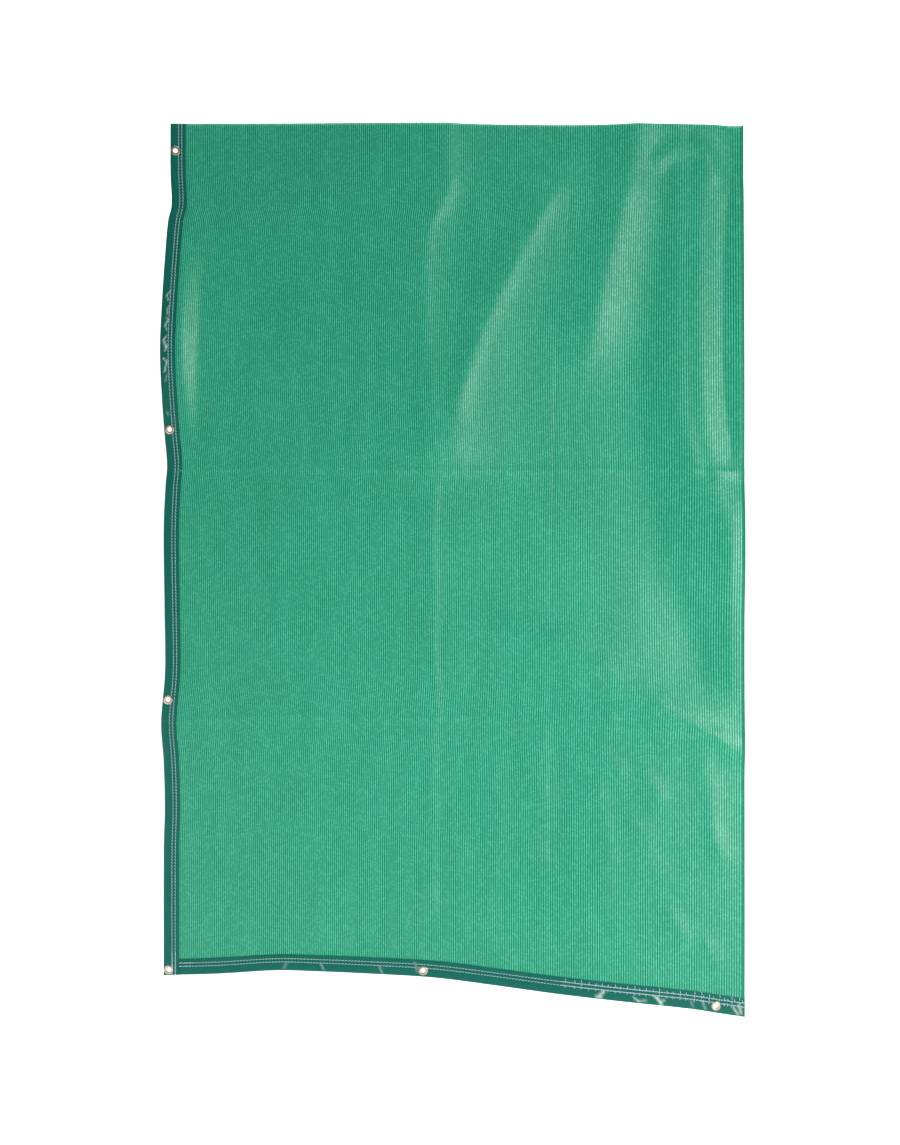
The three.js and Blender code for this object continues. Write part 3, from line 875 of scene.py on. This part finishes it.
def cap_ends(tape, columns, stations, outer_count):
    """Closes both cut ends of a tape with a strip between its outer and inner faces."""
    mesh = tape.data
    points = [tuple(v.co) for v in mesh.vertices]
    faces = [tuple(p.vertices) for p in mesh.polygons]
    inner_count = columns - outer_count
    for s, flip in ((0, False), (stations - 1, True)):
        base = s * columns
        i, j = 0, 0
        while i < outer_count - 1 or j < inner_count - 1:
            outer_share = i / (outer_count - 1)
            inner_share = j / (inner_count - 1)
            a, b = base + i, base + columns - 1 - j
            if outer_share <= inner_share and i < outer_count - 1:
                face = (a, b, a + 1)
                i += 1
            else:
                face = (a, b, b - 1)
                j += 1
            faces.append(face[::-1] if flip else face)
    mesh.clear_geometry()
    mesh.from_pydata(points, [], faces)
    mesh.polygons.foreach_set("use_smooth", [True] * len(mesh.polygons))
    mesh.update()


def left_place(along, inset, behind):
    return cloth_point(inset, along, behind)


def bottom_place(along, inset, behind):
    return cloth_point(along, NET_HEIGHT - inset, behind)


def turn_out(obj):
    """Points a closed mesh's faces outwards."""
    work = bmesh.new()
    work.from_mesh(obj.data)
    bmesh.ops.recalc_face_normals(work, faces=work.faces)
    work.to_mesh(obj.data)
    work.free()


def punch_holes(tape, seats, radius):
    """Cuts the tape open under each of its eyelets."""
    for seat in seats:
        cutter = lathe("hole_cutter", [(0, -0.01), (radius, -0.01), (radius, 0.01), (0, 0.01)], 32, seat)
        cut = tape.modifiers.new("hole", "BOOLEAN")
        cut.operation = "DIFFERENCE"
        cut.solver = "EXACT"
        cut.object = cutter
        name = tape.name
        tape.name = name + "_before"
        done = plain_mesh(tape, name)
        bpy.data.objects.remove(cutter, do_unlink=True)
        tape = done
    return tape


EYELETS = [
    ("eyelet_left_1", 10, 50), ("eyelet_left_2", 10.5, 560), ("eyelet_left_3", 10, 1054),
    ("eyelet_corner", 9.5, 1548), ("eyelet_bottom_1", 474, 1547), ("eyelet_bottom_2", 1008, 1547),
]
LEAN_STEP = 8.0
HOLE_ROOM = 0.0008


def eyelet_seat(across, down):
    """The place and lean of an eyelet at one spot of the cloth, as in the solids."""
    right = cloth_point(across + LEAN_STEP, down) - cloth_point(across - LEAN_STEP, down)
    top = cloth_point(across, down - LEAN_STEP) - cloth_point(across, down + LEAN_STEP)
    backward = Vector(np.cross(top, right)).normalized()
    lean = Vector((0, 1, 0)).rotation_difference(backward)
    return Vector(cloth_point(across, down)), lean


def lathe(name, profile, sides, seat, smooth=True):
    """A profile of (radius, back) points turned about an eyelet's bore. Ends on the axis close."""
    place, lean = seat
    points, faces, rings = [], [], []
    for radius, back in profile:
        if radius < 1e-9:
            rings.append([len(points)] * sides)
            points.append(place + lean @ Vector((0, back, 0)))
            continue
        ring = []
        for k in range(sides):
            angle = 2 * math.pi * k / sides
            ring.append(len(points))
            points.append(place + lean @ Vector((radius * math.cos(angle), back, radius * math.sin(angle))))
        rings.append(ring)
    closed = profile[0][0] > 1e-9
    pairs = list(zip(rings, rings[1:])) + ([(rings[-1], rings[0])] if closed else [])
    for low, high in pairs:
        for k in range(sides):
            n = (k + 1) % sides
            face = [low[k], low[n], high[n], high[k]]
            face = list(dict.fromkeys(face))
            faces.append(face)
    obj = new_mesh_object(name, points, faces, smooth)
    turn_out(obj)
    return obj


class SCREENNET_OT_tapes(bpy.types.Operator):
    """Make the two folded tapes that bind the net."""

    bl_idname = "screennet.tapes"
    bl_label = "Binding tapes"

    def execute(self, context):
        sizes = context.scene.screennet_tape
        eyelet = context.scene.screennet_eyelet
        finish = tape_material("tape_coating", tuple(sizes.colour), tuple(sizes.crease_whitening_and_highlight))
        rows = [
            ("tape_left_folded", 0, NET_HEIGHT, left_place, LEFT_TAPE_CREASES, "tape_left", 0, 4),
            ("tape_bottom_folded", TAPE_WIDTH + 0.1, NET_WIDTH, bottom_place, BOTTOM_TAPE_CREASES,
             "tape_bottom", 4, 6),
        ]
        for name, start, end, place, creases, node, low, high in rows:
            tape = make_tape(sizes, name, start, end, place, creases, finish)
            turn_out(tape)
            seats = [eyelet_seat(across, down) for _, across, down in EYELETS[low:high]]
            tape = punch_holes(tape, seats, eyelet.bore + HOLE_ROOM)
            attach(tape, "root")
            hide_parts(node)
        return {"FINISHED"}


# Eyelets


def eyelet_profile(sizes):
    """The eyelet's outline from the front of its bore round the face and the washer."""
    seat = TAPE_FACE * MM + 0.0003
    bore, face, washer = sizes.bore, sizes.face, sizes.washer
    points = [(bore, -seat + 0.0002), (bore, -seat - 0.0002)]
    for k in range(9):
        angle = math.pi * (1 - k / 8)
        middle = (bore + face) / 2
        points.append((middle + (face - bore) / 2 * math.cos(angle), -seat - 0.0009 * math.sin(angle) ** 0.8))
    points += [(face, -seat + 0.00005), (bore + 0.00045, -seat + 0.00005), (bore + 0.00045, seat)]
    points += [(washer, seat), (washer, seat + 0.0003), (washer - 0.0004, seat + 0.00045)]
    points += [(bore + 0.0024, seat + 0.0005), (bore + 0.0020, seat + 0.0008), (bore + 0.0013, seat + 0.0011)]
    points += [(bore + 0.0005, seat + 0.00095), (bore, seat + 0.0003)]
    return points


class SCREENNET_OT_eyelets(bpy.types.Operator):
    """Make the six metal eyelets."""

    bl_idname = "screennet.eyelets"
    bl_label = "Eyelets"

    def execute(self, context):
        sizes = context.scene.screennet_eyelet
        finish = metal_material("eyelet_plating", tuple(sizes.colour), tuple(sizes.warm))
        for node, across, down in EYELETS:
            eyelet = lathe(node + "_set", eyelet_profile(sizes), 56, eyelet_seat(across, down))
            eyelet.data.materials.append(finish)
            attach(eyelet, "root")
            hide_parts(node)
        return {"FINISHED"}


# Sewing


def twisted_stitch(name, length, thick, turns=1.25, rings=7, sides=4):
    """One stitch of two-ply thread that dips into the cloth at both ends."""
    points, faces = [], []
    ply = thick * 0.27
    for strand in range(2):
        base = len(points)
        for r in range(rings):
            t = r / (rings - 1)
            x = (t - 0.5) * length * 0.9
            lift = thick * 0.5 * (1 - (2 * t - 1) ** 4) - thick * 0.18
            angle = 2 * math.pi * (turns * t + strand / 2)
            cy, cz = ply * math.cos(angle), lift + ply * math.sin(angle)
            for s in range(sides):
                turn = 2 * math.pi * s / sides + angle
                points.append((x, cy + ply * 1.15 * math.cos(turn), cz + ply * 1.15 * math.sin(turn)))
        for r in range(rings - 1):
            for s in range(sides):
                n = (s + 1) % sides
                a = base + r * sides
                faces.append((a + s, a + n, a + sides + n, a + sides + s))
        faces.append(tuple(base + s for s in reversed(range(sides))))
        faces.append(tuple(base + (rings - 1) * sides + s for s in range(sides)))
    stitch = new_mesh_object(name, points, faces)
    turn_out(stitch)
    return stitch


def seam_lines(name, lines):
    """Several open lines of points as one mesh of edges."""
    points, edges = [], []
    for line in lines:
        start = len(points)
        points += [tuple(p) for p in line]
        edges += [(start + i, start + i + 1) for i in range(len(line) - 1)]
    mesh = bpy.data.meshes.new(name)
    mesh.from_pydata(points, edges, [])
    obj = bpy.data.objects.new(name, mesh)
    bpy.context.scene.collection.objects.link(obj)
    return obj


def sew(name, lines, stitch, length, facing, material, lean, uneven, seed):
    values = {
        "Stitch": stitch, "Stitch Length": length, "Facing": facing, "Lean": lean,
        "Uneven": uneven, "Seed": seed, "Material": material,
    }
    return run_tree(seam_lines(name + "_lines", lines), stitch_tree(), values, name)


# Where the rows are sewn over a second time: (start, end) along the tape.
LEFT_OVERSEWN = [(1519, 1556)]
BOTTOM_OVERSEWN = [(31, 48), (728, 1060)]

# Loose loops that cross from row to row near the right end: (along, lowest inset, highest inset).
LADDER = [
    (733, 15, 25), (750, 15, 24), (762, 15, 25.5), (776, 14.5, 24), (789, 15, 23), (800, 15, 24),
    (811, 15, 23), (824, 14.5, 24.5), (833, 15, 22), (846, 15, 24), (859, 15, 25), (868, 15, 22.5),
    (880, 14.5, 24), (893, 15, 23), (904, 15, 25.5), (918, 15, 23), (929, 15, 22.5), (942, 14.5, 25),
    (953, 15, 23.5), (968, 14, 26), (981, 15, 27), (985, 15, 22.5), (995, 14, 25), (1003, 15, 23),
    (1014, 14, 27), (1023, 15, 24), (1029, 15, 22.5), (1036, 14, 26.5), (1041, 15, 24),
    (1050, 14.5, 27), (1056, 15, 24),
]


THREAD_SHADE = (0.34, 0.56, 0.62)
THREAD_LEAN = 0.24
THREAD_UNEVEN = 0.07
THREAD_SEED = 3


class SCREENNET_OT_sewing(bpy.types.Operator):
    """Sew two rows of stitches along each tape, on both faces."""

    bl_idname = "screennet.sewing"
    bl_label = "Tape sewing"

    def execute(self, context):
        sizes = context.scene.screennet_tape
        finish = thread_material("sewing_thread", tuple(sizes.thread_colour), THREAD_SHADE)
        stitch = twisted_stitch("stitch_pattern", sizes.stitch, sizes.thread)
        rows = [sizes.outer_row / MM, sizes.inner_row / MM]
        face = TAPE_FACE - ROW_GROOVE
        for name, start, end, place, extra in (
            ("thread_left", 1.5, NET_HEIGHT - 1.5, left_place, LEFT_OVERSEWN),
            ("thread_bottom", TAPE_WIDTH + 2, NET_WIDTH - 1.5, bottom_place, BOTTOM_OVERSEWN),
        ):
            for side, label in ((-1, "front"), (1, "back")):
                lines = []
                for row in rows:
                    along = np.linspace(start, end, int((end - start) / 12))
                    lines.append(place(along, row, side * face))
                    for low, high in extra:
                        along = np.linspace(low, high, max(3, int((high - low) / 12)))
                        lines.append(place(along, row + 0.5, side * (face + 0.35)))
                if name == "thread_bottom" and side < 0:
                    for along, low, high in LADDER:
                        inset = np.linspace(low, high, 4)
                        lines.append(place(along + 0.12 * (inset - low), inset, side * (TAPE_FACE + 0.1)))
                thread = sew(
                    f"{name}_{label}", lines, stitch, sizes.stitch, (0, side, 0), finish,
                    lean=THREAD_LEAN, uneven=THREAD_UNEVEN, seed=THREAD_SEED,
                )
                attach(thread, "root")
        bpy.data.objects.remove(stitch, do_unlink=True)
        return {"FINISHED"}


# Stage


WORLD_STRENGTH = 0.275

# The lights: (name, place, what it points at, size, watts, spread in degrees).
LIGHTS = [
    ("key_light", (1.3, -1.7, -1.2), (-0.1, 0, -1.1), 0.9, 10.5, 140),
    ("side_light", (1.75, -2.2, -0.3), (0.2, 0, -0.6), 0.6, 17, 180),
    ("low_light", (-1.4, -1.7, -1.5), (-0.4, 0, -1.2), 0.8, 2.5, 130),
    ("backdrop_light", (0, 0.9, 2.6), (0, 2.4, -1.0), 2.5, 260, 180),
]


class SCREENNET_OT_stage(bpy.types.Operator):
    """Make the floor, the backdrop, the lights and the camera."""

    bl_idname = "screennet.stage"
    bl_label = "Stage"

    def execute(self, context):
        sizes = context.scene.screennet_stage
        scene = context.scene
        self.make_sweep(sizes)
        self.make_lights(scene)
        self.make_camera(scene, sizes)
        scene.view_settings.view_transform = "Standard"
        return {"FINISHED"}

    def make_sweep(self, sizes):
        """A floor that curves up into a backdrop."""
        side, front, bend, height = 7.0, -6.0, 1.2, 6.0
        profile = [(front, -sizes.floor_drop)]
        for k in range(13):
            angle = math.pi / 2 * k / 12
            y = sizes.backdrop - bend + bend * math.sin(angle)
            z = -sizes.floor_drop + bend - bend * math.cos(angle)
            profile.append((y, z))
        profile.append((sizes.backdrop, height))
        points = [(x, y, z) for y, z in profile for x in (-side, side)]
        sweep = new_mesh_object("stage_floor", points, grid_faces(len(profile), 2, flip=True))
        sweep.data.materials.append(stage_material("stage_paper", tuple(sizes.pale)))

    def make_lights(self, scene):
        world = bpy.data.worlds.new("stage_light")
        world.use_nodes = True
        background = world.node_tree.nodes["Background"]
        background.inputs[0].default_value = (1, 1, 1, 1)
        background.inputs[1].default_value = WORLD_STRENGTH
        scene.world = world
        for name, place, aim, size, power, spread in LIGHTS:
            data = bpy.data.lights.new(name, "AREA")
            data.energy = power
            data.shape = "SQUARE"
            data.size = size
            data.spread = math.radians(spread)
            light = bpy.data.objects.new(name, data)
            light.location = place
            direction = Vector(aim) - Vector(place)
            light.rotation_euler = direction.to_track_quat("-Z", "Y").to_euler()
            scene.collection.objects.link(light)

    def make_camera(self, scene, sizes):
        """Level and square to the net, framed as the picture is."""
        frame_width, frame_height = 900, 1145
        left_edge, top_edge = 164.2, 123.0
        middle_x = (frame_width / 2 - left_edge) * sizes.pixel - NET_WIDTH * MM / 2
        middle_z = -(frame_height / 2 - top_edge) * sizes.pixel
        data = bpy.data.cameras.new("camera")
        data.sensor_fit = "VERTICAL"
        data.sensor_height = 24.0
        data.lens = data.sensor_height * sizes.distance / (frame_height * sizes.pixel)
        camera = bpy.data.objects.new("camera", data)
        camera.location = (middle_x, -sizes.distance, middle_z)
        camera.rotation_euler = (math.pi / 2, 0, 0)
        scene.collection.objects.link(camera)
        scene.camera = camera


class SCREENNET_PT_panel(bpy.types.Panel):
    """The screen net's sizes and steps."""

    bl_idname = "SCREENNET_PT_panel"
    bl_label = "Screen net"
    bl_space_type = "VIEW_3D"
    bl_region_type = "UI"
    bl_category = "Screen net"

    def draw(self, context):
        for group in GROUPS:
            settings = getattr(context.scene, group)
            for name in settings.bl_rna.properties.keys():
                if name not in ("rna_type", "name"):
                    self.layout.prop(settings, name)
        for operator in OPERATORS:
            self.layout.operator(operator.bl_idname)


GROUPS = {
    "screennet_cloth": ScreenNetCloth,
    "screennet_tape": ScreenNetTape,
    "screennet_eyelet": ScreenNetEyelet,
    "screennet_stage": ScreenNetStage,
}
OPERATORS = (
    SCREENNET_OT_netting,
    SCREENNET_OT_tapes,
    SCREENNET_OT_eyelets,
    SCREENNET_OT_sewing,
    SCREENNET_OT_stage,
)


def register():
    for group in GROUPS.values():
        bpy.utils.register_class(group)
    for operator in OPERATORS:
        bpy.utils.register_class(operator)
    bpy.utils.register_class(SCREENNET_PT_panel)
    for name, group in GROUPS.items():
        setattr(bpy.types.Scene, name, bpy.props.PointerProperty(type=group))


def unregister():
    for name in GROUPS:
        delattr(bpy.types.Scene, name)
    bpy.utils.unregister_class(SCREENNET_PT_panel)
    for operator in reversed(OPERATORS):
        bpy.utils.unregister_class(operator)
    for group in reversed(list(GROUPS.values())):
        bpy.utils.unregister_class(group)


def main():
    register()
    bpy.ops.screennet.netting()
    bpy.ops.screennet.tapes()
    bpy.ops.screennet.eyelets()
    bpy.ops.screennet.sewing()
    bpy.ops.screennet.stage()


if __name__ == "__main__":
    main()
